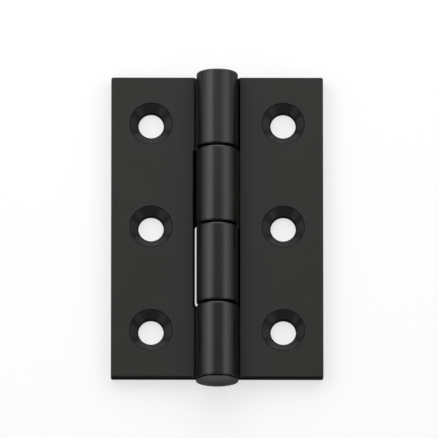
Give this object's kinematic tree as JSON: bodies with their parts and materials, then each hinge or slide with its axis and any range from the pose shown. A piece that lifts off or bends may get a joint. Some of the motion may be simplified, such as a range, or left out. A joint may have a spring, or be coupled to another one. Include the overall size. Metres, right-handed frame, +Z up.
{
  "type": "butt hinge",
  "caption": "Small flat butt hinge in satin black metal, two leaves with countersunk screw holes, fixed pin with a thin domed head.",
  "frame": {"origin": "on the plane of the leaf backs, under the middle of the barrel and pin together", "axes": "+Y along the pin away from its head, +X across to the leaf with the two middle knuckles, +Z up out of the countersunk front faces"},
  "size_m": [0.0342, 0.0516, 0.0068],
  "materials": {
    "black_leaf": "satin",
    "black_pin": "satin"
  },
  "bodies": {
    "left": {"left_leaf": "black_leaf", "pin": "black_pin"},
    "right": {"right_leaf": "black_leaf"}
  },
  "joints": [
    {"name": "pin_turn", "type": "hinge", "parent": "left", "child": "right", "pos_m": [0, 0.00057, 0.00342], "axis": [0, -1, 0], "range_deg": [-80, 180]}
  ]
}
